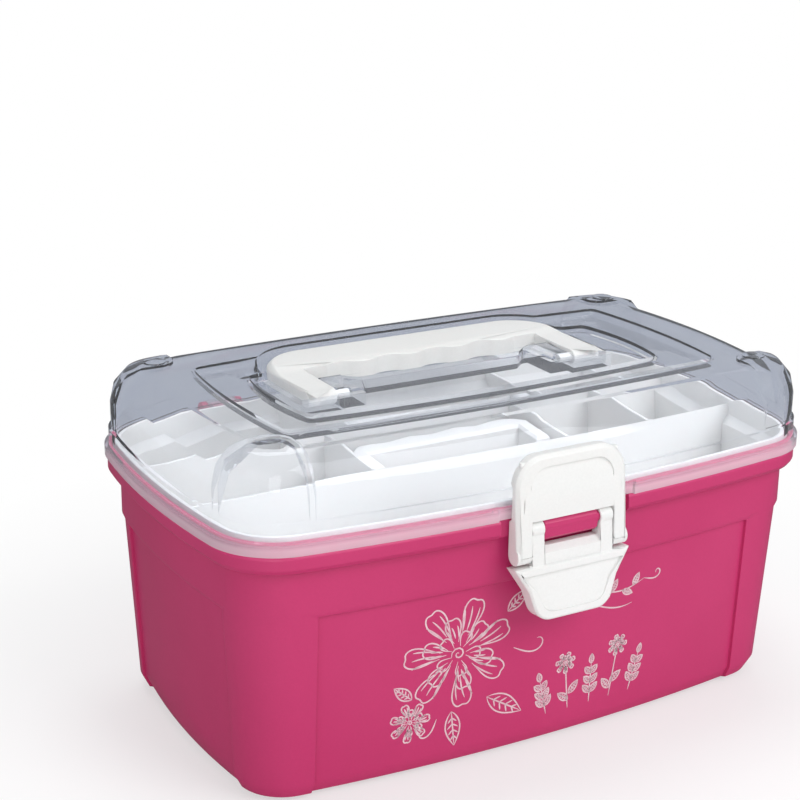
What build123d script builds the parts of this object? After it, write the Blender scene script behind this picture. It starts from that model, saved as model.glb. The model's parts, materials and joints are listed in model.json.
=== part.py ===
from build123d import *
import math
import os

# A carry case for make-up: a bowed, tapered tub, a clear domed lid with a folding
# carry handle, a loose inner tray and a toggle latch at the front.
# Millimetres. X runs along the case, -Y is the front with the latch, Z is up, and the
# origin is on the ground under the middle of the case.

# ---------------------------------------------------------------- driving dimensions
# plan of the case, measured over the lid's skirt, which is its widest part
CASE_LENGTH = 300.0
CASE_WIDTH = 180.6
SIDE_BOW = 7.1             # how far each long side bows out
END_BOW = 3.4              # how far each short end bows out
PLAN_CORNER = 31.5

# tub
BODY_TOP = 85.0            # top of the drafted lower body
BODY_TOP_INSET = 7.7       # lower body inside the skirt's outline, at its top
BODY_DRAFT = 2.75          # degrees
FOOT_ROUND = 9.0           # rounding between walls and floor
FOOT_BANDS = 2
PANEL_RECESS = 1.5         # wall panels lie this deep between the corner columns
COLUMN_LENGTH = 41.0       # corner column along the front, from the skirt's end
COLUMN_DEPTH = 40.0        # and along the end, from the skirt's front
BAND_BOTTOM = 88.0
BAND_TOP = 106.6
BAND_INSET = 6.5
FLANGE_BOTTOM = 109.6
FLANGE_TOP = 115.4
FLANGE_INSET = 1.1
FLANGE_ROUND = 1.3
RIM_TOP = 120.5
RIM_WALL = 2.9
TUB_WALL = 2.4
TUB_FLOOR = 2.6
UNDERSIDE_RECESS = 0.8
FOOT_RAIL = 7.0            # width of the flat rail that the case stands on

# lid
LID_WALL = 1.8
SKIRT_TOP = 121.0
SKIRT_EDGE = 1.2           # slope from the skirt to the bead
BEAD_INSET = 2.0           # small bead above the skirt
BEAD_TOP = 128.6
LID_WALL_INSET = 3.6       # foot of the domed wall, above the bead
CREASE_HEIGHT = 154.6      # sharp edge between the domed wall and the top
CREASE_INSET = 20.5
CREASE_CORNER = 22.0
CREASE_SIDE_BOW = 2.6
CREASE_END_BOW = 3.5
DOME_RUN = 24.0            # half axes of the elliptic wall profile
DOME_RISE = CREASE_HEIGHT - BEAD_TOP + 1.3
DOME_BANDS = 4             # straight bands that follow the curve outside, half as many inside
POST_INSET = 3.2           # corner posts of the lid, standing proud of the domed wall
POST_TOP = CREASE_HEIGHT + 1.4
POST_RUN = 14.0            # half axes of the rounding at the top of a post
POST_RISE = 16.0
POST_LENGTH = 38.0         # footprint of a post from the skirt's end and front
POST_DEPTH = 37.5
POST_EDGE = 8.0
CAP_RADIUS = 5.2           # round stacking button on each post
CAP_HEIGHT = 0.6
CAP_OUT = 6.4              # from the middle of the plan's corner arc, along X and along Y

# the lid's top: two sunken frames, one inside the other, with a ridge between them
FRAME_1_LENGTH = 111.5     # half length and half width at the upper edge of each frame's wall
FRAME_1_WIDTH = 51.8
FRAME_1_DROP = 3.4
FRAME_2_LENGTH = 93.0
FRAME_2_WIDTH = 34.0
FRAME_2_DROP = 3.0
FRAME_CORNER = 4.0
FRAME_END_BOW = 3.0
FRAME_SIDE_BOW = 4.0
FRAME_DRAFT = 0.8          # each wall comes in by this much on its way down
RIDGE_RISE = 1.8           # the ridge slopes up from the outer frame's floor to the inner frame
RIDGE_RUN = 7.5

# carry handle, lying folded back in a well of the lid
HANDLE_HALF = 76.0         # outside half width
ARM_WIDTH = 14.0
PIVOT_Y = 0.6
PIVOT_Z = CREASE_HEIGHT - 6.6
ARM_RADIUS = 3.8           # half height of the arms, and their round ends
GRIP_BACK = 56.5
GRIP_DEPTH = 26.5
GRIP_TOP = CREASE_HEIGHT - 1.4
GRIP_CORNER = 23.0
GRIP_ROUND = 2.2           # along the outer top edge
ARM_RAMP = 6.0             # the ramp from an arm's top to the grip's ends here
ARM_RAMP_LENGTH = 10.0
RIB = 1.8                  # stiffening ribs inside the grip
RIB_PITCH = 28.0
SCALLOP_PITCH = 25.0       # one finger groove
SCALLOP_DEPTH = 1.5
SCALLOPS = 4
GRIP_WALL = 2.4
HANDLE_PIN_RADIUS = 2.3
HANDLE_PIN_LENGTH = 7.0

# well for the handle
WELL_FLOOR = CREASE_HEIGHT - 11.2
WELL_GAP = 3.6             # between the handle and the well's outer wall
WELL_CORNER = 26.0
BOSS_LENGTH = 13.0         # pivot boss beside each arm
BOSS_BACK = 19.5
BOSS_EDGE = 1.2
BOSS_TOP = CREASE_HEIGHT - 3.7
SCOOP_BACK = 14.0          # back edge of the floor between the bosses

# hinges at the back
HINGE_X = 74.0
HINGE_Y_OUT = 4.6          # axis behind the skirt
HINGE_Z = 116.6
HINGE_PIN_RADIUS = 2.0
KNUCKLE_RADIUS = 4.2
KNUCKLE_WIDTH = 14.0
EAR_RADIUS = 3.8
EAR_WIDTH = 3.0
KNUCKLE_SLOT = 3.3            # mouth of the C-shaped knuckle, under the pin

# tray
TRAY_TOP = 122.2
TRAY_WALL = 1.8
TRAY_FLOOR = 1.8
TRAY_INSET = 9.3           # lower wall, inside the tub's band
TRAY_TOP_INSET = 5.8       # upper wall, inside the tub's rim and the lid's wall
TRAY_FOOT_ROUND = 0.7
SHOULDER_SHIFT = 0.4       # keeps the sloping shoulder as thick as the wall
DIVIDER = 1.6
DIVIDER_DROP = 4.2         # dividers stay below the tray's rim
FRONT_DIVIDER_Y = -20.0
BACK_DIVIDER_Y = 32.0
SLOT_ROOM = 50.0           # half length of the compartment with the lifting grip
END_ROOM_X = 97.0          # cross wall between the two cells of the middle row
BACK_WALLS_X = (-50.0, 68.0)
SLOT_HALF = 40.0           # opening through the floor
SLOT_FRONT = -6.0
SLOT_BACK = 9.0
TRAY_GRIP_WIDTH = 7.6
TRAY_GRIP_TOP = 115.6
TRAY_GRIP_CORNER = 8.0

# latch: a lever hinged on the tub and a bail hinged on the lever
LATCH_TILT = 5.2           # degrees: the latch leans out towards its foot
SKIRT_FRONT = -CASE_WIDTH / 2
LATCH_Z = FLANGE_BOTTOM - 14.2     # foot of the bail and top of the lever
LATCH_Y = SKIRT_FRONT - 5.0        # front plane of the latch at that height
BAIL_HALF = 27.5
BAIL_HEIGHT = 46.6
BAIL_ARM = 7.0
BAIL_CORNER = 13.5
BAIL_RIM_TOP = 5.2         # width of the bail's frame along its top
BAIL_EDGE = 1.6            # bevel along the bail's arch
FRAME_STOCK = 10.2         # depth that the bail's frame is cut from
LID_ROOM_HEIGHT = 16.0     # the bail keeps clear of the lid up to here, above the bead
HOOD_WALL = 2.0
HOOD_FOOT = 18.8           # lower edge of the hood above the bail's foot
HOOD_CREASE = 27.5
LEVER_PIVOT_Y = SKIRT_FRONT - 0.1
LEVER_PIVOT_Z = FLANGE_BOTTOM + 0.6
BAIL_PIVOT_Z = LATCH_Z + 4.4
ARM_DEPTH = 3.9            # half depth of the bail's arms, and their round ends
POST_PIN_RADIUS = 2.2
BAIL_PIN_RADIUS = 2.0
LUG_HALF = 13.2
LUG_FRONT = SKIRT_FRONT - 2.1
LUG_BOTTOM = FLANGE_BOTTOM - 5.2
LUG_TOP = FLANGE_BOTTOM + 4.0
LUG_EDGE = 1.6
LEVER_POST_IN = 14.0
LEVER_POST_OUT = 20.2
LEVER_POST_RADIUS = 3.5
LEVER_HALF_TOP = 28.8
LEVER_HALF_FOOT = 17.6
LEVER_WAIST = 1.2          # each side of the lever's shield is drawn in by this much
LEVER_HEIGHT = 24.6
LEVER_CORNER = 8.5
LEVER_DEPTH = 7.4
LEVER_WALL = 2.0
LEVER_EDGE = 0.9
DISH_EDGE = 3.6
DISH_DEPTH = 2.3
CROSSBAR_HEIGHT = 6.8      # above the top of the shield
CROSSBAR_BEVEL = 2.4
NOTCH_HALF = 32.0          # the tub's flange is cut away here for the latch
NOTCH_INSET = 3.9
CATCH_HALF = 11.0
CATCH_REACH = 1.0
CATCH_HEIGHT = 7.0
HOOK_THICKNESS = 2.4

# clearances
FIT_GAP = 0.4              # between parts that pass each other
SEAT_GAP = 0.3             # between the lid's skirt and the flange
PIN_PLAY = 0.08            # radial, in every pivot bore
SIDE_PLAY = 0.3            # beside a hinged part

OUT = "parts"
FAR = 400.0                # larger than anything here, for cutting


# ---------------------------------------------------------------- plan outlines
def bowed_outline(z, half_length, half_width, corner, side_bow, end_bow):
    """Rounded rectangle whose four sides are shallow arcs, tangent to the corner arcs."""
    cx = half_length - end_bow - corner
    cy = half_width - side_bow - corner
    side_turn = 2 * math.atan(side_bow / cx)
    end_turn = 2 * math.atan(end_bow / cy)
    middle = (end_turn + math.pi / 2 - side_turn) / 2

    def corner_point(angle):
        return cx + corner * math.cos(angle), cy + corner * math.sin(angle)

    (x1, y1), (xm, ym), (x2, y2) = (
        corner_point(a) for a in (end_turn, middle, math.pi / 2 - side_turn)
    )
    right, back = cx + corner + end_bow, cy + corner + side_bow
    ring = [(x1, -y1), (right, 0), (x1, y1), (xm, ym), (x2, y2), (0, back)]
    ring += [(-x2, y2), (-xm, ym), (-x1, y1), (-right, 0)]
    ring += [(-x1, -y1), (-xm, -ym), (-x2, -y2), (0, -back), (x2, -y2), (xm, -ym), (x1, -y1)]
    points = [Vector(x, y, z) for x, y in ring]
    arcs = [Edge.make_three_point_arc(*points[i:i + 3]) for i in range(0, 16, 2)]
    return Wire(arcs)


def case_outline(z, inset):
    """The case's plan, set in evenly from the lid's skirt."""
    return bowed_outline(z, CASE_LENGTH / 2 - inset, CASE_WIDTH / 2 - inset,
                         PLAN_CORNER - inset, SIDE_BOW, END_BOW)


def stack(levels):
    """Solid through the case's outline at (height, inset) levels."""
    return Solid.make_loft([case_outline(z, inset) for z, inset in levels], ruled=True)


def block(x0, x1, y0, y1, z0, z1):
    return Pos(x0, y0, z0) * Box(x1 - x0, y1 - y0, z1 - z0, align=(Align.MIN,) * 3)


def rod(x0, x1, y, z, radius):
    """Round bar along X."""
    turned = Plane(origin=(x0, y, z), x_dir=(0, 1, 0), z_dir=(1, 0, 0))
    return turned * Cylinder(radius, x1 - x0, align=(Align.CENTER, Align.CENTER, Align.MIN))


def side_profile(points, x0, x1):
    """Polygon of (y, z) points, drawn out along X."""
    face = Plane(origin=(x0, 0, 0), x_dir=(0, 1, 0), z_dir=(1, 0, 0)) * Polygon(*points, align=None)
    return extrude(face, amount=x1 - x0, dir=(1, 0, 0))


def corners():
    return [(sx, sy) for sx in (-1, 1) for sy in (-1, 1)]


def half_width_at(inset):
    return CASE_WIDTH / 2 - inset


def side_y(x, inset):
    """Half width of the case's plan at a distance along it."""
    cx = CASE_LENGTH / 2 - END_BOW - PLAN_CORNER
    radius = (cx * cx + SIDE_BOW * SIDE_BOW) / (2 * SIDE_BOW)
    return half_width_at(inset) - radius + math.sqrt(radius * radius - x * x)


# ---------------------------------------------------------------- tub
def body_inset(z):
    """Inset of the lower body's wall at a height, from its draft."""
    return BODY_TOP_INSET + (BODY_TOP - z) * math.tan(math.radians(BODY_DRAFT))


def body_levels(extra, floor, rounding, bands):
    """Lower body from a rounded foot up, set in further by extra."""
    levels = []
    for step in range(bands + 1):
        angle = math.radians(90 * step / bands)
        z = floor + rounding * (1 - math.cos(angle))
        levels.append((z, body_inset(z) + extra + rounding * (1 - math.sin(angle))))
    levels.append((BODY_TOP, BODY_TOP_INSET + extra))
    return levels


def drafted_body(extra, floor=0.0, rounding=FOOT_ROUND, bands=FOOT_BANDS):
    """Solid through those levels, whose corners grow tighter only half as fast as the walls come in."""
    def outline(z, inset):
        draft = inset - BODY_TOP_INSET - extra
        corner = PLAN_CORNER - BODY_TOP_INSET - extra - draft / 2
        return bowed_outline(z, CASE_LENGTH / 2 - inset, CASE_WIDTH / 2 - inset, corner, SIDE_BOW, END_BOW)

    levels = body_levels(extra, floor, rounding, bands)
    return Solid.make_loft([outline(z, inset) for z, inset in levels], ruled=True)


def tub_outside():
    upper = [(BODY_TOP, BODY_TOP_INSET), (BAND_BOTTOM, BAND_INSET), (BAND_TOP, BAND_INSET)]
    for step in range(1, 3):
        angle = math.radians(45 * step)
        drop = FLANGE_BOTTOM - BAND_TOP
        run = BAND_INSET - FLANGE_INSET
        upper.append((BAND_TOP + drop * (1 - math.cos(angle)), BAND_INSET - run * math.sin(angle)))
    upper += [(FLANGE_TOP - FLANGE_ROUND, FLANGE_INSET),
              (FLANGE_TOP, FLANGE_INSET + FLANGE_ROUND / 2)]
    panels = drafted_body(PANEL_RECESS)
    columns = drafted_body(0.0)
    x0 = CASE_LENGTH / 2 - COLUMN_LENGTH
    y0 = CASE_WIDTH / 2 - COLUMN_DEPTH
    posts = [columns & block(*sorted((sx * x0, sx * FAR)), *sorted((sy * y0, sy * FAR)), 0, FAR)
             for sx, sy in corners()]
    rim = stack([(FLANGE_TOP - 1, rim_inset()), (RIM_TOP, rim_inset())])
    return panels + posts + stack(upper) + rim


def rim_inset():
    return LID_WALL + FIT_GAP


def tub_hollow():
    """Room inside the tub, with the ledge that carries the tray."""
    wall = PANEL_RECESS + TUB_WALL
    lower = drafted_body(wall, TUB_FLOOR, FOOT_ROUND - TUB_WALL, bands=1)
    ledge = BODY_TOP_INSET + wall
    neck = stack([(BODY_TOP - 1, ledge), (BAND_BOTTOM + 1, ledge)])
    band = BAND_INSET + TUB_WALL
    rim = rim_inset() + RIM_WALL
    upper = [(BAND_BOTTOM, band), (BAND_TOP + 2, band), (BAND_TOP + 5, rim), (RIM_TOP + 1, rim)]
    return lower + neck + stack(upper)


def notch_cut():
    """The flange and the rim step back behind the latch."""
    face = -half_width_at(NOTCH_INSET)
    rim_half = NOTCH_HALF + 2 * LID_WALL + FIT_GAP
    low = block(-NOTCH_HALF, NOTCH_HALF, -FAR, face, BAND_TOP, RIM_TOP + 1)
    high = block(-rim_half, rim_half, -FAR, face, FLANGE_TOP, RIM_TOP + 1)
    return low + high


def latch_lug():
    """Block on the band that carries the lever's two pivot pins."""
    back = -half_width_at(BAND_INSET + 1)
    body = block(-LUG_HALF, LUG_HALF, LUG_FRONT, back, LUG_BOTTOM, LUG_TOP)
    front = body.edges().filter_by(Axis.X).group_by(Axis.Y)[0]
    body = chamfer(front, LUG_EDGE)
    pin_end = LEVER_POST_OUT - LEVER_WALL - FIT_GAP / 2
    return body + rod(-pin_end, pin_end, LEVER_PIVOT_Y, LEVER_PIVOT_Z, POST_PIN_RADIUS)


def hinge_axis_y():
    return CASE_WIDTH / 2 + HINGE_Y_OUT


def hinge_ears(side):
    """Two ears and the pin between them, moulded on the tub's flange."""
    y = hinge_axis_y()
    inner = KNUCKLE_WIDTH / 2 + SIDE_PLAY
    flange_y = side_y(HINGE_X, FLANGE_INSET + 1)
    back = y + EAR_RADIUS / 2
    parts = [rod(-inner - 1, inner + 1, y, HINGE_Z, HINGE_PIN_RADIUS)]
    for hand in (-1, 1):
        x0, x1 = sorted((hand * inner, hand * (inner + EAR_WIDTH)))
        web = side_profile([(flange_y, FLANGE_BOTTOM), (back, HINGE_Z - EAR_RADIUS * 0.85), (back, HINGE_Z),
                            (y, FLANGE_TOP), (flange_y, FLANGE_TOP)], x0, x1)
        parts += [web, rod(x0, x1, y, HINGE_Z, EAR_RADIUS)]
    return Pos(side * HINGE_X, 0, 0) * (parts[0] + parts[1:])


def make_tub():
    tub = tub_outside() - notch_cut() + latch_lug() - tub_hollow()
    rail = body_inset(0) + PANEL_RECESS + FOOT_ROUND + FOOT_RAIL
    tub -= stack([(-1, rail), (UNDERSIDE_RECESS, rail + UNDERSIDE_RECESS)])
    return tub + hinge_ears(-1) + hinge_ears(1)


# ---------------------------------------------------------------- lid
def dome_outline(z, inset):
    """The plan changes evenly from the skirt's shape to the crease's on the way in."""
    share = (inset - LID_WALL_INSET) / (CREASE_INSET - LID_WALL_INSET)
    foot_corner = PLAN_CORNER - LID_WALL_INSET
    return bowed_outline(z, CASE_LENGTH / 2 - inset, CASE_WIDTH / 2 - inset,
                         foot_corner + share * (CREASE_CORNER - foot_corner),
                         SIDE_BOW + share * (CREASE_SIDE_BOW - SIDE_BOW),
                         END_BOW + share * (CREASE_END_BOW - END_BOW))


def elliptic_levels(start, run, rise, foot_inset, top, steps):
    """(height, inset) points on a quarter ellipse that starts upright."""
    levels = []
    top_angle = math.asin(min((top - start) / rise, 1.0))
    for step in range(steps + 1):
        angle = top_angle * step / steps
        levels.append((start + rise * math.sin(angle), foot_inset + run * (1 - math.cos(angle))))
    return levels


def dome(thickness):
    """Domed walls up to the crease, moved in by a thickness."""
    bands = DOME_BANDS if thickness == 0 else DOME_BANDS // 2
    levels = elliptic_levels(BEAD_TOP, DOME_RUN - thickness, DOME_RISE - thickness,
                             LID_WALL_INSET + thickness, CREASE_HEIGHT - thickness, bands)
    foot = BEAD_TOP - 2 if thickness == 0 else FLANGE_TOP
    levels.insert(0, (foot, LID_WALL_INSET + thickness))
    return Solid.make_loft([dome_outline(z, inset) for z, inset in levels], ruled=True)


def post_blocks(thickness):
    """Footprints of the four corner posts, open outwards."""
    x0 = CASE_LENGTH / 2 - POST_LENGTH + thickness
    y0 = CASE_WIDTH / 2 - POST_DEPTH + thickness
    blocks = []
    for sx, sy in corners():
        shape = block(*sorted((sx * x0, sx * FAR)), *sorted((sy * y0, sy * FAR)), BEAD_TOP, POST_TOP + 1)
        inner = shape.edges().filter_by(Axis.Z).sort_by(lambda e: abs(e.center().X) + abs(e.center().Y))[0]
        blocks.append(fillet(inner, POST_EDGE - thickness))
    return blocks


def posts(thickness):
    bands = DOME_BANDS - 1 if thickness == 0 else DOME_BANDS // 2
    levels = elliptic_levels(POST_TOP - POST_RISE, POST_RUN - thickness, POST_RISE - thickness,
                             POST_INSET + thickness, POST_TOP - thickness, bands)
    levels.insert(0, (BEAD_TOP - 1, POST_INSET + thickness))
    envelope = stack(levels)
    return [envelope & shape for shape in post_blocks(thickness)]


def cap_centre():
    """Middle of the flat top of a corner post."""
    x = CASE_LENGTH / 2 - END_BOW - PLAN_CORNER + CAP_OUT
    y = CASE_WIDTH / 2 - SIDE_BOW - PLAN_CORNER + CAP_OUT
    return x, y


def frame_outline(z, half_length, half_width, grow):
    """Plan of a sunken frame, grown evenly."""
    return bowed_outline(z, half_length + grow, half_width + grow, FRAME_CORNER + grow,
                         FRAME_SIDE_BOW, FRAME_END_BOW)


def frame_room(half_length, half_width, top, drop, thickness):
    """Room over one frame's floor, lowered and widened by the wall's thickness."""
    grow = thickness / 2
    outlines = [frame_outline(top - drop - thickness, half_length, half_width, grow - FRAME_DRAFT),
                frame_outline(top - thickness, half_length, half_width, grow),
                frame_outline(top + drop, half_length, half_width, grow)]
    return Solid.make_loft(outlines, ruled=True)


def top_frames(thickness):
    floor = CREASE_HEIGHT - FRAME_1_DROP - thickness
    ridge = Solid.make_loft([frame_outline(floor - 1, FRAME_2_LENGTH, FRAME_2_WIDTH, RIDGE_RUN),
                             frame_outline(floor, FRAME_2_LENGTH, FRAME_2_WIDTH, RIDGE_RUN),
                             frame_outline(floor + RIDGE_RISE, FRAME_2_LENGTH, FRAME_2_WIDTH, 0)], ruled=True)
    outer = frame_room(FRAME_1_LENGTH, FRAME_1_WIDTH, CREASE_HEIGHT, FRAME_1_DROP, thickness)
    top = CREASE_HEIGHT - FRAME_1_DROP + RIDGE_RISE
    return outer - ridge + frame_room(FRAME_2_LENGTH, FRAME_2_WIDTH, top, FRAME_2_DROP, thickness)


def well_front():
    return PIVOT_Y - ARM_RADIUS - FIT_GAP - SIDE_PLAY


def boss_half():
    """Outer side of the pivot bosses, just clear of the handle's arms."""
    return HANDLE_HALF - ARM_WIDTH - SIDE_PLAY * 2


def well(thickness):
    """Room for the folded handle: a U round the middle of the lid, with a finger scoop."""
    half = HANDLE_HALF + WELL_GAP + thickness
    back = GRIP_BACK + WELL_GAP + thickness
    front = well_front() - thickness
    outer = Rectangle(2 * half, back - front, align=(Align.CENTER, Align.MIN))
    outer = Pos(0, front) * outer
    outer = fillet(outer.vertices().group_by(Axis.Y)[-1], WELL_CORNER + thickness)
    island_half = boss_half() - thickness
    neck = island_half - BOSS_LENGTH
    tip = BOSS_BACK - thickness
    scoop = SCOOP_BACK - thickness
    lead = 6.0
    right = [(island_half, front - 1), (island_half, tip), (neck, tip), (neck - lead, scoop)]
    left = [(-x, y) for x, y in reversed(right)]
    island = Polygon(*right, *left, align=None)
    island = fillet(island.vertices().group_by(Axis.Y)[1:], 3.0)
    plan = outer - island
    return Pos(0, 0, WELL_FLOOR - thickness) * extrude(plan, amount=FAR / 10)


def pivot_boss(side):
    """Raised block beside one arm, with the bore for the handle's pin."""
    half = boss_half()
    x0, x1 = sorted((side * half, side * (half - BOSS_LENGTH)))
    y0 = well_front()
    shape = block(x0, x1, y0, BOSS_BACK, WELL_FLOOR - LID_WALL / 2, BOSS_TOP)
    return chamfer(shape.edges().group_by(Axis.Z)[-1], BOSS_EDGE)


def pivot_bore(side):
    half = boss_half()
    depth = HANDLE_PIN_LENGTH + 0.5
    x0, x1 = sorted((side * (half + 1), side * (half - depth)))
    return rod(x0, x1, PIVOT_Y, PIVOT_Z, HANDLE_PIN_RADIUS + PIN_PLAY)


def skirt_notch_face():
    """Outer face of the lid's wall behind the latch."""
    return half_width_at(NOTCH_INSET) + FIT_GAP + LID_WALL - 0.3


def lid_outside():
    skirt_foot = FLANGE_TOP + SEAT_GAP
    levels = [(skirt_foot, 0.0), (SKIRT_TOP, 0.0), (SKIRT_TOP + SKIRT_EDGE, BEAD_INSET), (BEAD_TOP, BEAD_INSET)]
    cap_x, cap_y = cap_centre()
    caps = [Pos(sx * cap_x, sy * cap_y, POST_TOP - 1)
            * Cylinder(CAP_RADIUS, 1 + CAP_HEIGHT, align=(Align.CENTER, Align.CENTER, Align.MIN))
            for sx, sy in corners()]
    shell = stack(levels) + dome(0.0) - top_frames(0.0)
    shell = shell + posts(0.0) + caps - well(0.0)
    half = NOTCH_HALF + LID_WALL
    return shell - block(-half, half, -FAR, -skirt_notch_face(), FLANGE_TOP, SKIRT_TOP + SKIRT_EDGE)


def lid_hollow():
    """Room under the lid: over the tub's rim first, and then inside the thick bead and the dome."""
    low = stack([(FLANGE_TOP - 1, LID_WALL), (RIM_TOP + FIT_GAP, LID_WALL)])
    half = NOTCH_HALF + 2 * LID_WALL
    low -= block(-half, half, -FAR, LID_WALL - skirt_notch_face() - FIT_GAP / 2, 0, FAR)
    upper = dome(LID_WALL) - top_frames(LID_WALL)
    return low + (upper + posts(LID_WALL) - well(LID_WALL))


def hinge_knuckle(side):
    """C-shaped knuckle on the lid's skirt, open below, turning on the tub's pin."""
    y = hinge_axis_y()
    half = KNUCKLE_WIDTH / 2
    skirt_y = side_y(HINGE_X, LID_WALL / 2)
    body = rod(-half, half, y, HINGE_Z, KNUCKLE_RADIUS)
    body += side_profile([(skirt_y, FLANGE_TOP + SEAT_GAP), (y, HINGE_Z - 1),
                          (y, HINGE_Z + KNUCKLE_RADIUS * 0.9), (skirt_y, SKIRT_TOP)], -half, half)
    body -= rod(-half - 1, half + 1, y, HINGE_Z, HINGE_PIN_RADIUS + PIN_PLAY)
    mouth = KNUCKLE_SLOT / 2
    body -= block(-half - 1, half + 1, y - mouth, y + mouth, HINGE_Z - 2 * KNUCKLE_RADIUS, HINGE_Z)
    return Pos(side * HINGE_X, 0, 0) * body


def latch_catch():
    """Ledge on the lid behind the bail, which the bail's hook holds down."""
    face = -skirt_notch_face()
    wall = -half_width_at(LID_WALL_INSET + LID_WALL / 2)
    foot = BEAD_TOP - CATCH_HEIGHT
    tip = face - CATCH_REACH
    return side_profile([(wall, foot), (face, foot + CATCH_REACH), (tip, foot + CATCH_HEIGHT * 0.7),
                         (tip, BEAD_TOP), (wall, BEAD_TOP)], -CATCH_HALF, CATCH_HALF)


def make_lid():
    lid = lid_outside() - lid_hollow() + pivot_boss(-1) + pivot_boss(1)
    lid = lid - pivot_bore(-1) - pivot_bore(1)
    return lid + hinge_knuckle(-1) + hinge_knuckle(1) + latch_catch()


# ---------------------------------------------------------------- carry handle
def finger_edge(y):
    """Inner edge of the grip: finger grooves as arcs that meet in soft ridges."""
    arcs = []
    half_pitch = SCALLOP_PITCH / 2
    for i in range(-SCALLOPS, SCALLOPS):
        x = i * half_pitch
        side = 1 if i % 2 == 0 else -1
        bulge = y + side * SCALLOP_DEPTH
        arcs.append(Edge.make_three_point_arc(Vector(x, y, 0), Vector(x + half_pitch / 2, bulge, 0),
                                              Vector(x + half_pitch, y, 0)))
    return arcs


def handle_opening():
    """Plan of the room inside the U, with the grooved edge of the grip."""
    inner = HANDLE_HALF - ARM_WIDTH
    grip_front = GRIP_BACK - GRIP_DEPTH
    reach = SCALLOPS * SCALLOP_PITCH / 2
    front = PIVOT_Y - 1
    corners_round = [(reach, grip_front), (inner, grip_front), (inner, front), (-inner, front),
                     (-inner, grip_front), (-reach, grip_front)]
    sides = [Edge.make_line(Vector(*start, 0), Vector(*end, 0))
             for start, end in zip(corners_round, corners_round[1:])]
    return make_face(Wire(sides + finger_edge(grip_front)))


def make_carry_handle():
    inner = HANDLE_HALF - ARM_WIDTH
    grip_front = GRIP_BACK - GRIP_DEPTH
    low = PIVOT_Z - ARM_RADIUS
    plan = Pos(0, PIVOT_Y) * Rectangle(2 * HANDLE_HALF, GRIP_BACK - PIVOT_Y, align=(Align.CENTER, Align.MIN))
    plan = fillet(plan.vertices().group_by(Axis.Y)[-1], GRIP_CORNER)
    body = Pos(0, 0, low) * extrude(plan, amount=GRIP_TOP - low)
    top = body.faces().sort_by(Axis.Z)[-1]
    body = chamfer(top.edges().filter_by(lambda e: e.center().Y > PIVOT_Y + 1), GRIP_ROUND)
    body -= Pos(0, 0, low - 1) * extrude(handle_opening(), amount=FAR / 4)
    # the arms are lower than the grip: their top slopes up to it
    arm_top = PIVOT_Z + ARM_RADIUS
    ramp = grip_front + ARM_RAMP
    front = PIVOT_Y - 1
    body -= side_profile([(front, GRIP_TOP + 1), (front, arm_top), (ramp - ARM_RAMP_LENGTH, arm_top),
                          (ramp, GRIP_TOP), (ramp, GRIP_TOP + 1)], -FAR, FAR)
    for side in (-1, 1):
        x0, x1 = sorted((side * inner, side * HANDLE_HALF))
        body += rod(x0, x1, PIVOT_Y, PIVOT_Z, ARM_RADIUS)
        p0, p1 = sorted((side * (inner + 1), side * (inner - HANDLE_PIN_LENGTH)))
        body += rod(p0, p1, PIVOT_Y, PIVOT_Z, HANDLE_PIN_RADIUS)
    ceiling = GRIP_TOP - GRIP_WALL
    reach = inner - 2 * GRIP_WALL
    pocket = block(-reach, reach, grip_front + GRIP_WALL + SCALLOP_DEPTH,
                   GRIP_BACK - GRIP_ROUND - GRIP_WALL / 2, low - 1, ceiling)
    ribs = [block(x - RIB / 2, x + RIB / 2, grip_front, GRIP_BACK, low, ceiling)
            for x in (-RIB_PITCH, 0, RIB_PITCH)]
    return body - (pocket - ribs)


# ---------------------------------------------------------------- tray
def tray_levels(thickness, floor, top):
    """Straight lower wall and a shoulder that follows the tub's band out to its rim."""
    low = TRAY_INSET + thickness
    high = TRAY_TOP_INSET + thickness
    shoulder = BAND_TOP + 2 - (TRAY_INSET - BAND_INSET - TUB_WALL) + thickness * SHOULDER_SHIFT
    return [(floor, low + TRAY_FOOT_ROUND), (floor + TRAY_FOOT_ROUND, low), (shoulder + 1.0, low),
            (shoulder + 1.0 + low - high, high), (top, high)]


def tray_grip():
    """Raised U-shaped grip round three sides of the slot, cored out from below."""
    outer_half = SLOT_HALF + TRAY_GRIP_WIDTH
    back = SLOT_BACK + TRAY_GRIP_WIDTH
    core = LEVER_WALL
    low = BAND_BOTTOM

    def u_plan(margin):
        front = SLOT_FRONT + margin
        shape = Rectangle(2 * (outer_half - margin), back - margin - front, align=(Align.CENTER, Align.MIN))
        shape = fillet(shape.vertices().group_by(Axis.Y)[-1], TRAY_GRIP_CORNER - margin)
        depth = SLOT_BACK + 2 * margin - front
        hole = Rectangle(2 * (SLOT_HALF + margin), depth, align=(Align.CENTER, Align.MIN))
        return Pos(0, front) * shape - Pos(0, front - margin) * hole

    grip = Pos(0, 0, low) * extrude(u_plan(0.0), amount=TRAY_GRIP_TOP - low)
    grip = chamfer(grip.edges().group_by(Axis.Z)[-1], 1.1)
    hollow = Pos(0, 0, low - 1) * extrude(u_plan(core), amount=TRAY_GRIP_TOP - low + 1 - core)
    return grip, hollow


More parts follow.
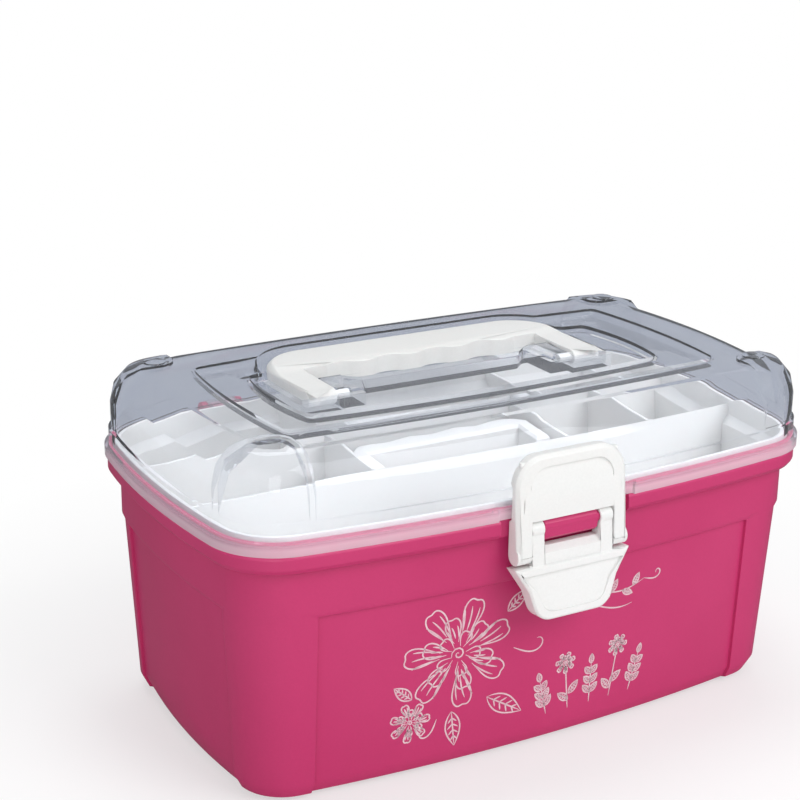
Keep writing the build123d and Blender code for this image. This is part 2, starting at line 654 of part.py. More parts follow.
def make_tray():
    seat = BAND_BOTTOM
    shell = stack(tray_levels(0.0, seat, TRAY_TOP))
    hollow = stack(tray_levels(TRAY_WALL, seat + TRAY_FLOOR, TRAY_TOP + 1))
    room = stack(tray_levels(TRAY_WALL / 2, seat + TRAY_FLOOR / 2, TRAY_TOP))
    wall_top = TRAY_TOP - DIVIDER_DROP
    half = DIVIDER / 2
    walls = [block(-FAR, FAR, y - half, y + half, seat, wall_top) for y in (FRONT_DIVIDER_Y, BACK_DIVIDER_Y)]
    walls += [block(x - half, x + half, FRONT_DIVIDER_Y, BACK_DIVIDER_Y, seat, wall_top)
              for x in (-SLOT_ROOM, SLOT_ROOM, END_ROOM_X)]
    walls += [block(x - half, x + half, BACK_DIVIDER_Y, FAR, seat, wall_top) for x in BACK_WALLS_X]
    grip, core = tray_grip()
    slot = block(-SLOT_HALF, SLOT_HALF, SLOT_FRONT, SLOT_BACK, seat - 1, seat + TRAY_FLOOR + 1)
    tray = shell - hollow + [wall & room for wall in walls]
    return tray + grip - core - slot


# ---------------------------------------------------------------- latch
def latch_plane():
    """Front plane of the latch, leaning in towards its top; local Y runs up it."""
    tilt = math.radians(LATCH_TILT)
    return Plane(origin=(0, LATCH_Y, LATCH_Z), x_dir=(1, 0, 0), z_dir=(0, -math.cos(tilt), math.sin(tilt)))


def front_y(z, inward=0.0):
    """Y of the latch's front plane at a height."""
    tilt = math.radians(LATCH_TILT)
    return LATCH_Y + (z - LATCH_Z) * math.tan(tilt) + inward / math.cos(tilt)


def bail_pivot_y():
    """The arms' round ends lie flush with the front plane."""
    return front_y(BAIL_PIVOT_Z, ARM_DEPTH)


def lid_clearance():
    """Everything nearer to the case than this is kept free by the bail."""
    face = -skirt_notch_face() - FIT_GAP
    wall = -half_width_at(LID_WALL_INSET) - FIT_GAP
    arm_back = bail_pivot_y() + ARM_DEPTH
    low = FLANGE_TOP - 1.0
    dome_foot = BEAD_TOP + 2.0
    hood_top = BEAD_TOP + LID_ROOM_HEIGHT
    return side_profile([(arm_back, 0), (arm_back, low), (face, low + 1), (face, BEAD_TOP + FIT_GAP),
                         (wall, dome_foot), (wall + 1.0, (dome_foot + hood_top) / 2), (wall + 3.6, hood_top),
                         (FAR, hood_top), (FAR, 0)], -FAR, FAR)


def bail_hood():
    """Bent plate between the bail's arms: an upper facet that leans back over a lower one."""
    tilt = math.cos(math.radians(LATCH_TILT))
    foot_z = LATCH_Z + HOOD_FOOT * tilt
    crease_z = LATCH_Z + HOOD_CREASE * tilt
    top_z = LATCH_Z + (BAIL_HEIGHT - BAIL_RIM_TOP / 2) * tilt
    outer = [(front_y(foot_z, 0.4), foot_z), (front_y(crease_z, -0.5), crease_z),
             (front_y(top_z, 2.0), top_z)]
    inner = [(y + HOOD_WALL, z) for y, z in reversed(outer)]
    reach = BAIL_HALF - BAIL_ARM / 2
    return side_profile(outer + inner, -reach, reach)


def bail_hook():
    """Rib behind the hood that bears on the lid's catch."""
    tip = -half_width_at(LID_WALL_INSET) - FIT_GAP * 2
    low = BEAD_TOP + FIT_GAP
    high = low + HOOK_THICKNESS
    reach = BAIL_HALF - BAIL_ARM / 2
    return side_profile([(front_y(low, 2.2), low), (tip, low), (tip, high), (front_y(high, 3.0), high + 1)],
                        -reach, reach)


def bail_frame():
    """Arched frame with two arms, bevelled along its front edge."""
    plan = Rectangle(2 * BAIL_HALF, BAIL_HEIGHT, align=(Align.CENTER, Align.MIN))
    plan = fillet(plan.vertices().group_by(Axis.Y)[-1], BAIL_CORNER)
    inner_half = BAIL_HALF - BAIL_ARM
    opening = Rectangle(2 * inner_half, BAIL_HEIGHT - BAIL_RIM_TOP + 1, align=(Align.CENTER, Align.MIN))
    opening = Pos(0, -1) * opening
    opening = fillet(opening.vertices().group_by(Axis.Y)[-1], BAIL_CORNER - BAIL_RIM_TOP)
    frame = latch_plane() * extrude(plan, amount=-FRAME_STOCK)
    front = frame.faces().sort_by(Axis.Y)[0]
    frame = chamfer(front.edges().filter_by(lambda e: e.center().Z > LATCH_Z + 1), BAIL_EDGE)
    return frame - latch_plane() * extrude(opening, amount=-FAR / 4, both=True)


def arm_ends():
    """Round feet of the arms, centred on the bail's pivot."""
    ends = []
    for side in (-1, 1):
        x0, x1 = sorted((side * (BAIL_HALF - BAIL_ARM), side * BAIL_HALF))
        ends.append(rod(x0, x1, bail_pivot_y(), BAIL_PIVOT_Z, ARM_DEPTH))
    return ends


def make_latch_bail():
    frame = bail_frame() - block(-FAR, FAR, -FAR, FAR, 0, BAIL_PIVOT_Z)
    frame = frame - lid_clearance() + bail_hood() + arm_ends() + bail_hook()
    bore_end = BAIL_HALF - LEVER_WALL
    return frame - rod(-bore_end, bore_end, bail_pivot_y(), BAIL_PIVOT_Z, BAIL_PIN_RADIUS + PIN_PLAY)


def shield_plan(margin):
    """Tapered shield of the lever, in the latch plane."""
    top = LEVER_HALF_TOP - margin
    foot = LEVER_HALF_FOOT - margin
    waist = (LEVER_HALF_TOP + LEVER_HALF_FOOT) / 2 - LEVER_WAIST - margin
    high = -FIT_GAP / 2 - margin
    low = -LEVER_HEIGHT + margin
    middle = -0.45 * LEVER_HEIGHT
    shape = Polygon((-top, high), (-waist, middle), (-foot, low), (foot, low), (waist, middle), (top, high),
                    align=None)
    return fillet(shape.vertices().group_by(Axis.Y)[0], LEVER_CORNER - margin / 2)


def lever_shield():
    """Hollow-backed shield with a dished face."""
    plane = latch_plane()
    body = plane * extrude(shield_plan(0.0), amount=-LEVER_DEPTH)
    front = body.faces().sort_by(Axis.Y)[0]
    body = chamfer(front.edges(), LEVER_EDGE)
    face = LEVER_WALL + DISH_DEPTH
    hollow = plane * (Pos(0, 0, -face) * extrude(shield_plan(LEVER_WALL), amount=-LEVER_DEPTH))
    # the dish starts shallow under the top edge and is deepest at the foot
    floor = Pos(0, 0, 0.1) * extrude(shield_plan(DISH_EDGE), amount=-DISH_DEPTH - 0.1)
    lean = math.degrees(math.atan(DISH_DEPTH / LEVER_HEIGHT))
    wedge = Rot(-lean, 0, 0) * Box(FAR, 2 * LEVER_HEIGHT, 2 * DISH_DEPTH)
    dish = plane * (floor & (Pos(0, -LEVER_HEIGHT / 2, DISH_DEPTH / 2) * wedge))
    return body - hollow - dish


def lever_post(side):
    """Upright beside the lug, with the lever's bore and the bail's pin."""
    py, pz = LEVER_PIVOT_Y, LEVER_PIVOT_Z
    x0, x1 = sorted((side * LEVER_POST_IN, side * LEVER_POST_OUT))
    foot = LATCH_Z - LEVER_EDGE - 2
    post = side_profile([(front_y(foot, 0.8), foot), (front_y(foot, LEVER_DEPTH), foot),
                         (py + LEVER_POST_RADIUS, pz), (front_y(pz, 0.8), pz)], x0, x1)
    post += rod(x0, x1, py, pz, LEVER_POST_RADIUS)
    pin_out = BAIL_HALF - LEVER_WALL - 1
    p0, p1 = sorted((side * (LEVER_POST_OUT - 1), side * pin_out))
    b0, b1 = sorted((side * (LEVER_POST_IN - 1), side * (LEVER_POST_OUT - LEVER_WALL)))
    post += rod(p0, p1, bail_pivot_y(), BAIL_PIVOT_Z, BAIL_PIN_RADIUS)
    return post - rod(b0, b1, py, pz, POST_PIN_RADIUS + PIN_PLAY)


def lever_crossbar():
    """Bevelled bar between the posts, under the lug."""
    foot = LATCH_Z - LEVER_EDGE - 2
    top = LATCH_Z + CROSSBAR_HEIGHT
    shoulder = top - CROSSBAR_BEVEL
    back = front_y(foot, LEVER_DEPTH)
    return side_profile([(front_y(foot, LEVER_EDGE), foot), (front_y(shoulder, LEVER_EDGE), shoulder),
                         (front_y(top, LEVER_EDGE + CROSSBAR_BEVEL), top), (back, top), (back, foot)],
                        -LEVER_POST_IN - 1, LEVER_POST_IN + 1)


def make_latch_lever():
    return lever_shield() + lever_post(-1) + lever_post(1) + lever_crossbar()


# ---------------------------------------------------------------- output
def main():
    os.makedirs(OUT, exist_ok=True)
    pieces = {
        "tub": make_tub,
        "lid": make_lid,
        "carry_handle": make_carry_handle,
        "tray": make_tray,
        "latch_bail": make_latch_bail,
        "latch_lever": make_latch_lever,
    }
    for name, make in pieces.items():
        piece = make()
        export_step(piece, os.path.join(OUT, name + ".step"))
        print(name, round(piece.volume), "mm3", len(piece.faces()), "faces", len(piece.solids()), "solids")


main()
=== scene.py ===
import json
import math

import bmesh
import bpy
from mathutils import Matrix, Vector
from mathutils.bvhtree import BVHTree

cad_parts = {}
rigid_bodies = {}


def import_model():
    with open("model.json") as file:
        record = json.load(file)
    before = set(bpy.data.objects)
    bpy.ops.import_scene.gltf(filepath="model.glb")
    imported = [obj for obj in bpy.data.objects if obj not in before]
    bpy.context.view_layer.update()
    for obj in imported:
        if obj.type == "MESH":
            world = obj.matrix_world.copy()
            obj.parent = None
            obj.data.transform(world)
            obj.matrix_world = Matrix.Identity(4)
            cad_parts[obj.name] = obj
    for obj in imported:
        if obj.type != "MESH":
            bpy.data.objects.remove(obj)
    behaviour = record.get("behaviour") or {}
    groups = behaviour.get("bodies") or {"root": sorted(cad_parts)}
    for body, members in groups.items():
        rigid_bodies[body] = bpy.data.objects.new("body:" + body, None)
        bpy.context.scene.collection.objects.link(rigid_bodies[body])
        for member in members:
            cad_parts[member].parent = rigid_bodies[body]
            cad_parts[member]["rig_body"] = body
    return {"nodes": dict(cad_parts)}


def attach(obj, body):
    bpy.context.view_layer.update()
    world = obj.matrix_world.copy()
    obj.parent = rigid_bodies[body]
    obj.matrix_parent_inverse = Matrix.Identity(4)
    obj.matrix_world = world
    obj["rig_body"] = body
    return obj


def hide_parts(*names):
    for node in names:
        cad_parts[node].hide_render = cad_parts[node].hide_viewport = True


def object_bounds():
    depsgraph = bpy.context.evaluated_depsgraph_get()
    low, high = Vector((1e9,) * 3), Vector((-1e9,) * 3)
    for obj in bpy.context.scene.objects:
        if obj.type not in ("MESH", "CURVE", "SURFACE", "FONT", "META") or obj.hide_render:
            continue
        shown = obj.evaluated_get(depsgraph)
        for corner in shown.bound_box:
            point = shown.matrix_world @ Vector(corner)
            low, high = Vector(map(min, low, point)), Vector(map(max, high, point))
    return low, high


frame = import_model()
cad_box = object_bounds()

MM = 0.001

# ---------------------------------------------------------------- photograph's frame
IMAGE_SIZE = 800
FOCAL_PX = 1752.5
CAMERA_AZIMUTH = math.radians(-29.838)
CAMERA_ELEVATION = math.radians(18.175)
CAMERA_ROLL = math.radians(0.619)
CAMERA_TARGET = Vector((-4.92, 42.48, 125.07)) * MM
CAMERA_DISTANCE = 827.13 * MM
SENSOR = 36.0

# ---------------------------------------------------------------- colours, linear
PINK = (0.58, 0.036, 0.155, 1.0)
PINK_DEEP = (0.53, 0.030, 0.137, 1.0)
WHITE = (0.82, 0.82, 0.81, 1.0)
WHITE_WARM = (0.80, 0.796, 0.775, 1.0)
TRAY_WHITE = (0.80, 0.795, 0.78, 1.0)
TRAY_SHADE = (0.78, 0.775, 0.76, 1.0)
CLEAR_TINT = (0.95, 0.955, 0.965, 1.0)
PRINT_SILVER = (0.78, 0.50, 0.56, 1.0)
PRINT_PALE = (0.84, 0.62, 0.66, 1.0)
FLOOR = (0.88, 0.88, 0.88, 1.0)
SPECK_DARK = (0.98, 0.98, 0.98, 1.0)
SPECK_LIGHT = (1.01, 1.01, 1.01, 1.0)
MILK = (0.92, 0.93, 0.95, 1.0)
GLOSS_TINT = (0.95, 0.96, 1.0, 1.0)
LAMP_TINT = (0.96, 0.965, 0.97, 1.0)
SKY = (0.95, 0.97, 1.0, 1.0)
SKY_GLOSS = (0.88, 0.92, 1.0, 1.0)
PURE_WHITE = (1.0, 1.0, 1.0, 1.0)
BEHIND_GLASS = (0.40, 0.43, 0.50, 1.0)

# skirt of the lid, metres: milky below, clear above
MILK_FOOT = 0.1185
MILK_TOP = 0.1225


# ---------------------------------------------------------------- material helpers
def new_material(name):
    material = bpy.data.materials.new(name)
    material.use_nodes = True
    tree = material.node_tree
    tree.nodes.clear()
    out = tree.nodes.new("ShaderNodeOutputMaterial")
    return material, tree, out


def add(tree, kind, **inputs):
    node = tree.nodes.new(kind)
    for key, value in inputs.items():
        node.inputs[key.replace("_", " ")].default_value = value
    return node


def noise(tree, coords, scale, detail=2.0, roughness=0.5):
    node = add(tree, "ShaderNodeTexNoise", Scale=scale, Detail=detail, Roughness=roughness)
    tree.links.new(coords, node.inputs["Vector"])
    return node


def ramp(tree, source, stops):
    node = tree.nodes.new("ShaderNodeValToRGB")
    elements = node.color_ramp.elements
    while len(elements) < len(stops):
        elements.new(0.5)
    for element, (position, colour) in zip(elements, stops):
        element.position = position
        element.color = colour
    tree.links.new(source, node.inputs["Fac"])
    return node


def value_range(tree, source, low, high, out_low, out_high):
    node = tree.nodes.new("ShaderNodeMapRange")
    for key, value in (("From Min", low), ("From Max", high), ("To Min", out_low), ("To Max", out_high)):
        node.inputs[key].default_value = value
    tree.links.new(source, node.inputs["Value"])
    return node.outputs["Result"]


def bump(tree, height, strength, distance):
    node = add(tree, "ShaderNodeBump", Strength=strength, Distance=distance)
    tree.links.new(height, node.inputs["Height"])
    return node.outputs["Normal"]


def moulded_plastic(name, colour, second, roughness, grain=900.0, subsurface=0.0):
    """Moulded plastic: slow colour drift, fine mottling, uneven gloss and a faint orange-peel skin."""
    material, tree, out = new_material(name)
    coords = tree.nodes.new("ShaderNodeTexCoord").outputs["Object"]
    drift = noise(tree, coords, 9.0, 3.0)
    mottle = noise(tree, coords, grain, 2.0)
    peel = noise(tree, coords, grain * 0.45, 3.0)
    tint = ramp(tree, drift.outputs["Fac"], [(0.35, second), (0.65, colour)])
    mix = tree.nodes.new("ShaderNodeMix")
    mix.data_type = "RGBA"
    mix.blend_type = "MULTIPLY"
    mix.inputs["Factor"].default_value = 1.0
    speck = ramp(tree, mottle.outputs["Fac"], [(0.3, SPECK_DARK), (0.7, SPECK_LIGHT)])
    tree.links.new(tint.outputs["Color"], mix.inputs["A"])
    tree.links.new(speck.outputs["Color"], mix.inputs["B"])
    shader = add(tree, "ShaderNodeBsdfPrincipled", IOR=1.49)
    tree.links.new(mix.outputs["Result"], shader.inputs["Base Color"])
    gloss = value_range(tree, drift.outputs["Fac"], 0.3, 0.7, roughness * 0.88, roughness * 1.12)
    tree.links.new(gloss, shader.inputs["Roughness"])
    tree.links.new(bump(tree, peel.outputs["Fac"], 0.10, 0.0002), shader.inputs["Normal"])
    if subsurface:
        shader.inputs["Subsurface Weight"].default_value = subsurface
        shader.inputs["Subsurface Radius"].default_value = (0.004, 0.003, 0.003)
        shader.inputs["Subsurface Scale"].default_value = 1.0
    tree.links.new(shader.outputs["BSDF"], out.inputs["Surface"])
    return material


def mixed(tree, factor, first, second):
    """Mix shader whose factor is a socket or a number."""
    mix = tree.nodes.new("ShaderNodeMixShader")
    if isinstance(factor, float):
        mix.inputs[0].default_value = factor
    else:
        tree.links.new(factor, mix.inputs[0])
    tree.links.new(first, mix.inputs[1])
    tree.links.new(second, mix.inputs[2])
    return mix.outputs["Shader"]


def clear_plastic(name):
    """Thin clear plastic: see-through, glossy at a slant, a little milky, and milkier in the skirt."""
    material, tree, out = new_material(name)
    coords = tree.nodes.new("ShaderNodeTexCoord").outputs["Object"]
    flow = noise(tree, coords, 22.0, 2.0)
    skin = bump(tree, flow.outputs["Fac"], 0.05, 0.001)
    body = add(tree, "ShaderNodeBsdfRefraction", IOR=1.05, Roughness=0.0)
    body.inputs["Color"].default_value = CLEAR_TINT
    gloss = add(tree, "ShaderNodeBsdfAnisotropic", Roughness=0.08)
    gloss.inputs["Color"].default_value = GLOSS_TINT
    edge = add(tree, "ShaderNodeFresnel", IOR=1.4)
    for node in (body, gloss, edge):
        tree.links.new(skin, node.inputs["Normal"])
    side = tree.nodes.new("ShaderNodeNewGeometry")
    outer = tree.nodes.new("ShaderNodeMath")
    outer.operation = "MULTIPLY"
    facing = value_range(tree, side.outputs["Backfacing"], 0.0, 1.0, 1.0, 0.0)
    tree.links.new(edge.outputs["Fac"], outer.inputs[0])
    tree.links.new(facing, outer.inputs[1])
    surface = mixed(tree, outer.outputs["Value"], body.outputs["BSDF"], gloss.outputs["BSDF"])
    haze = add(tree, "ShaderNodeBsdfDiffuse", Roughness=0.5)
    haze.inputs["Color"].default_value = MILK
    glow = add(tree, "ShaderNodeBsdfTranslucent")
    glow.inputs["Color"].default_value = MILK
    milk = mixed(tree, 0.5, haze.outputs["BSDF"], glow.outputs["BSDF"])
    height = tree.nodes.new("ShaderNodeSeparateXYZ")
    tree.links.new(coords, height.inputs["Vector"])
    milkiness = value_range(tree, height.outputs["Z"], MILK_TOP, MILK_FOOT, 0.045, 0.40)
    surface = mixed(tree, milkiness, surface, milk)
    through = tree.nodes.new("ShaderNodeBsdfTransparent")
    through.inputs["Color"].default_value = LAMP_TINT
    path = tree.nodes.new("ShaderNodeLightPath")
    surface = mixed(tree, path.outputs["Is Shadow Ray"], surface, through.outputs["BSDF"])
    tree.links.new(surface, out.inputs["Surface"])
    return material


def ink(name):
    """Thin printed ink: pale silvery pink, slightly worn."""
    material, tree, out = new_material(name)
    coords = tree.nodes.new("ShaderNodeTexCoord").outputs["Object"]
    patch = noise(tree, coords, 260.0, 3.0)
    tint = ramp(tree, patch.outputs["Fac"], [(0.35, PRINT_SILVER), (0.6, PRINT_PALE)])
    shader = add(tree, "ShaderNodeBsdfPrincipled", Metallic=0.15)
    tree.links.new(tint.outputs["Color"], shader.inputs["Base Color"])
    tree.links.new(value_range(tree, patch.outputs["Fac"], 0.3, 0.7, 0.35, 0.55), shader.inputs["Roughness"])
    tree.links.new(shader.outputs["BSDF"], out.inputs["Surface"])
    return material


# ---------------------------------------------------------------- dressed meshes
SMOOTH_BELOW = math.radians(25)
SHARP_ABOVE = math.radians(35)


def softened(node, name, material, edge, keep_smooth=None):
    """Piece that stands for a CAD node: the same shape with rounded edges and smooth curved walls."""
    source = frame["nodes"][node]
    bm = bmesh.new()
    bm.from_mesh(source.data)
    bmesh.ops.remove_doubles(bm, verts=bm.verts, dist=1e-6)
    weight = bm.edges.layers.float.new("bevel_weight_edge")
    for e in bm.edges:
        sharp = len(e.link_faces) != 2 or e.calc_face_angle(0.0) > SMOOTH_BELOW
        if sharp and keep_smooth and keep_smooth(e):
            sharp = False
        e.smooth = not sharp
        e[weight] = 1.0 if sharp else 0.0
    for f in bm.faces:
        f.smooth = True
        f.material_index = 0
    mesh = bpy.data.meshes.new(name)
    bm.to_mesh(mesh)
    bm.free()
    stored_normals = mesh.attributes.get("custom_normal")
    if stored_normals:
        mesh.attributes.remove(stored_normals)
    mesh.materials.clear()
    mesh.materials.append(material)
    piece = bpy.data.objects.new(name, mesh)
    bpy.context.scene.collection.objects.link(piece)
    bevel = piece.modifiers.new("edges", "BEVEL")
    bevel.limit_method = "WEIGHT"
    bevel.width = edge
    bevel.segments = 2
    bevel.use_clamp_overlap = False
    bevel.miter_outer = "MITER_ARC"
    bevel.harden_normals = False
    bpy.context.view_layer.update()
    shaped = bpy.data.meshes.new_from_object(piece.evaluated_get(bpy.context.evaluated_depsgraph_get()))
    piece.modifiers.clear()
    piece.data = shaped
    for e in shaped.edges:
        e.use_edge_sharp = False
    shaped.set_sharp_from_angle(angle=SHARP_ABOVE)
    piece.modifiers.new("normals", "WEIGHTED_NORMAL").keep_sharp = True
    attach(piece, source["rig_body"])
    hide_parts(node)
    return piece


pink = moulded_plastic("pink_plastic", PINK, PINK_DEEP, 0.40)
white = moulded_plastic("white_plastic", WHITE, WHITE_WARM, 0.36, subsurface=0.1)
tray_white = moulded_plastic("tray_plastic", TRAY_WHITE, TRAY_SHADE, 0.4, subsurface=0.1)
clear = clear_plastic("clear_plastic")


POST_Z = (0.1401, 0.1559)
POST_CORNER = (0.111, 0.052)
FOOT_Z = (0.0005, 0.0095)
LEVEL = 1e-5


def post_band(e):
    """Ring edges on the rounding of the lid's corner posts."""
    a, b = (v.co for v in e.verts)
    level = abs(a.z - b.z) < LEVEL and POST_Z[0] < a.z < POST_Z[1]
    return level and min(abs(a.x), abs(b.x)) > POST_CORNER[0] and min(abs(a.y), abs(b.y)) > POST_CORNER[1]


def foot_band(e):
    """Ring edges on the rounding under the tub."""
    a, b = (v.co for v in e.verts)
    return abs(a.z - b.z) < LEVEL and FOOT_Z[0] < a.z < FOOT_Z[1]


tub = softened("tub", "tub_shell", pink, 0.4 * MM, keep_smooth=foot_band)
softened("lid", "lid_shell", clear, 0.3 * MM, keep_smooth=post_band)
softened("carry_handle", "handle_grip", white, 0.5 * MM)
softened("tray", "tray_shell", tray_white, 0.3 * MM)
softened("latch_bail", "latch_bail_shell", white, 0.35 * MM)
softened("latch_lever", "latch_lever_shell", white, 0.35 * MM)


# ---------------------------------------------------------------- printed line drawing
LINE = 0.7
INK_LIFT = 0.06 * MM


def spaced(points, step=1.1):
    """Points along a line, no further apart than the step."""
    line = [points[0]]
    for (x0, z0), (x1, z1) in zip(points, points[1:]):
        count = max(1, math.ceil(math.hypot(x1 - x0, z1 - z0) / step))
        line += [(x0 + (x1 - x0) * i / count, z0 + (z1 - z0) * i / count) for i in range(1, count + 1)]
    return line


def petal(centre, angle, inner, outer, spread):
    """Outline of a petal that leaves the centre at an angle."""
    cx, cz = centre
    points = []
    for i in range(25):
        u = i / 24
        along = math.sin(math.pi * u) ** 0.6
        reach = inner + (outer - inner) * along * (1 - 0.07 * math.exp(-((u - 0.5) / 0.08) ** 2))
        turn = angle + spread * (2 * u - 1) * (0.35 + 0.65 * along)
        points.append((cx + reach * math.cos(turn), cz + reach * math.sin(turn)))
    return points


def ray_line(centre, angle, inner, outer, bend=0.0):
    """Slightly bent line that leaves the centre."""
    cx, cz = centre
    points = []
    for i in range(9):
        u = i / 8
        reach = inner + (outer - inner) * u
        turn = angle + bend * u * u
        points.append((cx + reach * math.cos(turn), cz + reach * math.sin(turn)))
    return points


def leaf(foot, angle, length, width):
    """Almond leaf with a midrib and side veins, as a list of lines."""
    def at(u, v):
        return (foot[0] + length * u * math.cos(angle) - v * math.sin(angle),
                foot[1] + length * u * math.sin(angle) + v * math.cos(angle))
    lines = []
    for side in (-1, 1):
        lines.append([at(i / 14, side * width / 2 * math.sin(math.pi * (i / 14) ** 0.85)) for i in range(15)])
        for u in (0.25, 0.42, 0.59, 0.76):
            half = width / 2 * math.sin(math.pi * u ** 0.85)
            lines.append([at(u - 0.06, 0), at(u + 0.06, side * half * 0.72)])
    lines.append([at(0, 0), at(0.95, 0)])
    return lines


def blossom(centre, size, turn):
    """Open flower of three rings of petals round a seed head."""
    lines = []
    for ring, (inner, outer, count) in enumerate(((0.34, 1.0, 7), (0.22, 0.68, 6), (0.14, 0.42, 5))):
        for k in range(count):
            angle = turn + ring * 0.4 + 2 * math.pi * k / count
            spread = math.pi / count * 0.98
            lines.append(petal(centre, angle, inner * size, outer * size, spread))
            if ring < 2:
                for offset in (-0.4, 0.0, 0.4):
                    lines.append(ray_line(centre, angle + offset * spread, (inner + 0.08) * size,
                                          (outer - 0.16) * size, 0.06))
    curl = [(centre[0] + 0.012 * size * i * math.cos(0.7 * i) * 0.8,
             centre[1] + 0.012 * size * i * math.sin(0.7 * i) * 0.8) for i in range(1, 15)]
    lines.append(curl)
    return lines


def tendril(start, angle, length, curl):
    """Line that curls up towards its end."""
    x, z = start
    points = [start]
    steps = 34
    for i in range(steps):
        angle += curl * (i / steps) ** 2
        x += length / steps * math.cos(angle)
        z += length / steps * math.sin(angle)
        points.append((x, z))
    return points


def drawing():
    """Lines of the print, in mm across and up the front: a flower, tendrils and a row of sprigs."""
    lines = blossom((-45.0, 55.0), 26.0, 0.35)
    lines += blossom((-66.5, 27.0), 9.5, 0.1)
    for foot, angle, length, width in (((-30.0, 31.0), -0.55, 21.0, 8.5), ((-47.0, 28.0), -1.45, 17.0, 7.0),
                                       ((-66.0, 38.0), 2.45, 11.0, 5.0), ((-22.0, 70.0), 0.75, 13.0, 5.5)):
        lines += leaf(foot, angle, length, width)
    lines.append(tendril((-18.0, 52.0), -0.5, 22.0, 0.36))
    lines.append(tendril((-54.0, 26.0), -1.9, 16.0, -0.42))
    # sweeping stems with small leaves, right of the flower
    stem = [(x, 70.0 + 3.6 * math.sin(0.115 * (x + 4))) for x in range(2, 51, 2)]
    lines.append(stem)
    lines.append([(x, z - 6.0 - 0.05 * x) for x, z in stem[4:22]])
    for k in range(3, 23, 3):
        x, z = stem[k]
        side = 1 if k % 2 else -1
        lines += leaf((x, z), 0.35 + side * 0.75, 6.5, 2.8)
    lines.append(tendril((50.0, stem[-1][1]), -0.3, 15.0, 0.5))
    lines.append(tendril((2.0, stem[0][1]), 2.9, 11.0, 0.6))
    # row of sprigs low on the right
    for k, (x, height) in enumerate(((1.0, 17.0), (12.5, 23.0), (24.0, 19.0), (35.0, 25.0), (46.0, 18.0))):
        foot = (x, 15.0)
        lean = 1.57 + 0.12 * (k - 2) * -1
        tip = (x + height * math.cos(lean), 15.0 + height * math.sin(lean))
        lines.append([foot, tip])
        if k % 2:
            lines += blossom(tip, 5.2, 0.3 * k)
            lines += leaf((x, 19.0), lean + 0.8, 7.5, 3.2)
            lines += leaf((x, 22.0), lean - 0.8, 7.5, 3.2)
        else:
            for u in (0.25, 0.5, 0.75):
                mid = (x + u * height * math.cos(lean), 15.0 + u * height * math.sin(lean))
                lines += leaf(mid, lean + 0.75, 6.5 - 2.0 * u, 2.8)
                lines += leaf(mid, lean - 0.75, 6.5 - 2.0 * u, 2.8)
            lines += leaf(tip, lean, 5.0, 2.4)
    return lines


def print_on_front(lines, carrier):
    """Ribbons of ink that lie on the front wall of the carrier."""
    surface = BVHTree.FromObject(carrier, bpy.context.evaluated_depsgraph_get())
    bm = bmesh.new()
    for line in lines:
        points = spaced(line)
        rail = []
        last = len(points) - 1
        for i, (x, z) in enumerate(points):
            (xa, za), (xb, zb) = points[max(i - 1, 0)], points[min(i + 1, last)]
            run = math.hypot(xb - xa, zb - za) or 1.0
            taper = min(1.0, 0.35 + 3.0 * min(i, last - i) / max(last, 1))
            half = LINE / 2 * taper
            pair = []
            for side in (-1, 1):
                px = x - side * half * (zb - za) / run
                pz = z + side * half * (xb - xa) / run
                hit = surface.ray_cast(Vector((px * MM, -0.12, pz * MM)), Vector((0, 1, 0)))[0]
                pair.append(bm.verts.new((px * MM, hit.y - INK_LIFT, pz * MM)))
            rail.append(pair)
        for (a, b), (c, d) in zip(rail, rail[1:]):
            bm.faces.new((a, c, d, b))
    mesh = bpy.data.meshes.new("front_print")
    bm.to_mesh(mesh)
    bm.free()
    mesh.materials.append(ink("print_ink"))
    piece = bpy.data.objects.new("front_print", mesh)
    bpy.context.scene.collection.objects.link(piece)
    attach(piece, "tub_body")


print_on_front(drawing(), tub)


# ---------------------------------------------------------------- floor, light, camera
def make_floor():
    bpy.ops.mesh.primitive_plane_add(size=12.0, location=(0, 0, cad_box[0][2]))
    floor = bpy.context.object
    floor.name = "floor"
    material, tree, out = new_material("floor")
    shader = add(tree, "ShaderNodeBsdfPrincipled", Roughness=0.9)
    shader.inputs["Base Color"].default_value = FLOOR
    # plain white away from the object, and blue-grey for what is seen through the clear lid
    coords = tree.nodes.new("ShaderNodeTexCoord").outputs["Object"]
    length = tree.nodes.new("ShaderNodeVectorMath")
    length.operation = "LENGTH"
    tree.links.new(coords, length.inputs[0])
    far = value_range(tree, length.outputs["Value"], 0.16, 0.34, 0.55, 1.0)
    white_floor = add(tree, "ShaderNodeEmission", Strength=1.0)
    near_far = mixed(tree, far, shader.outputs["BSDF"], white_floor.outputs["Emission"])
    path = tree.nodes.new("ShaderNodeLightPath")
    seen = mixed(tree, path.outputs["Is Camera Ray"], shader.outputs["BSDF"], near_far)
    glassy = add(tree, "ShaderNodeEmission", Strength=1.0)
    glassy.inputs["Color"].default_value = BEHIND_GLASS
    dim = add(tree, "ShaderNodeEmission", Strength=0.16)
    shown = mixed(tree, path.outputs["Is Glossy Ray"], seen, dim.outputs["Emission"])
    shown = mixed(tree, path.outputs["Is Transmission Ray"], shown, glassy.outputs["Emission"])
    tree.links.new(shown, out.inputs["Surface"])
    floor.data.materials.append(material)


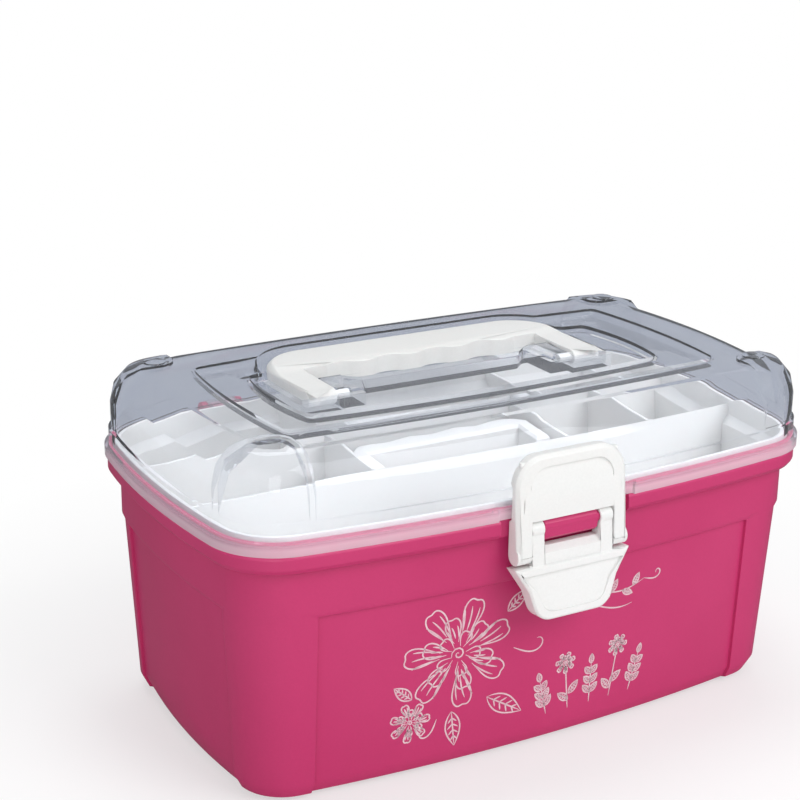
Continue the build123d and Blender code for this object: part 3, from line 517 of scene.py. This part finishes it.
def make_world():
    world = bpy.data.worlds.new("studio")
    bpy.context.scene.world = world
    world.use_nodes = True
    tree = world.node_tree
    tree.nodes.clear()
    out = tree.nodes.new("ShaderNodeOutputWorld")
    path = tree.nodes.new("ShaderNodeLightPath")
    shader = None
    for colour, strength, ray in ((SKY, 0.45, None),
                                  (SKY_GLOSS, 0.42, "Is Glossy Ray"),
                                  (BEHIND_GLASS, 1.0, "Is Transmission Ray"),
                                  (PURE_WHITE, 1.0, "Is Camera Ray")):
        light = add(tree, "ShaderNodeBackground", Strength=strength)
        light.inputs["Color"].default_value = colour
        if ray is None:
            shader = light.outputs["Background"]
            continue
        shader = mixed(tree, path.outputs[ray], shader, light.outputs["Background"])
    tree.links.new(shader, out.inputs["Surface"])


def area_light(name, place, aim, size, power):
    data = bpy.data.lights.new(name, "AREA")
    data.shape = "RECTANGLE"
    data.size, data.size_y = size
    data.energy = power
    lamp = bpy.data.objects.new(name, data)
    bpy.context.scene.collection.objects.link(lamp)
    lamp.location = place
    lamp.rotation_euler = (Vector(aim) - Vector(place)).to_track_quat("-Z", "Y").to_euler()


def make_camera():
    azimuth, elevation = CAMERA_AZIMUTH, CAMERA_ELEVATION
    back = Vector((math.sin(azimuth) * math.cos(elevation), -math.cos(azimuth) * math.cos(elevation),
                   math.sin(elevation)))
    right = Vector((math.cos(azimuth), math.sin(azimuth), 0))
    up = back.cross(right)
    turned_right = math.cos(CAMERA_ROLL) * right + math.sin(CAMERA_ROLL) * up
    turned_up = math.cos(CAMERA_ROLL) * up - math.sin(CAMERA_ROLL) * right
    data = bpy.data.cameras.new("camera")
    data.sensor_width = SENSOR
    data.lens = SENSOR * FOCAL_PX / IMAGE_SIZE
    data.clip_start = 0.01
    camera = bpy.data.objects.new("camera", data)
    bpy.context.scene.collection.objects.link(camera)
    place = CAMERA_TARGET + CAMERA_DISTANCE * back
    turn = Matrix((turned_right, turned_up, back)).transposed().to_4x4()
    camera.matrix_world = Matrix.Translation(place) @ turn
    bpy.context.scene.camera = camera


make_floor()
make_world()
area_light("key", (0.7, -1.5, 1.3), (0, 0, 0.08), (1.2, 1.2), 19)
area_light("fill", (-1.6, -0.9, 1.1), (0, 0, 0.08), (1.4, 1.4), 4)
area_light("front", (-0.78, -1.3, 0.42), (0, 0, 0.05), (0.45, 0.75), 3.8)
area_light("top", (0.1, 0.5, 1.9), (0, 0, 0.1), (1.2, 0.9), 14)
make_camera()

scene = bpy.context.scene
scene.view_settings.view_transform = "Standard"
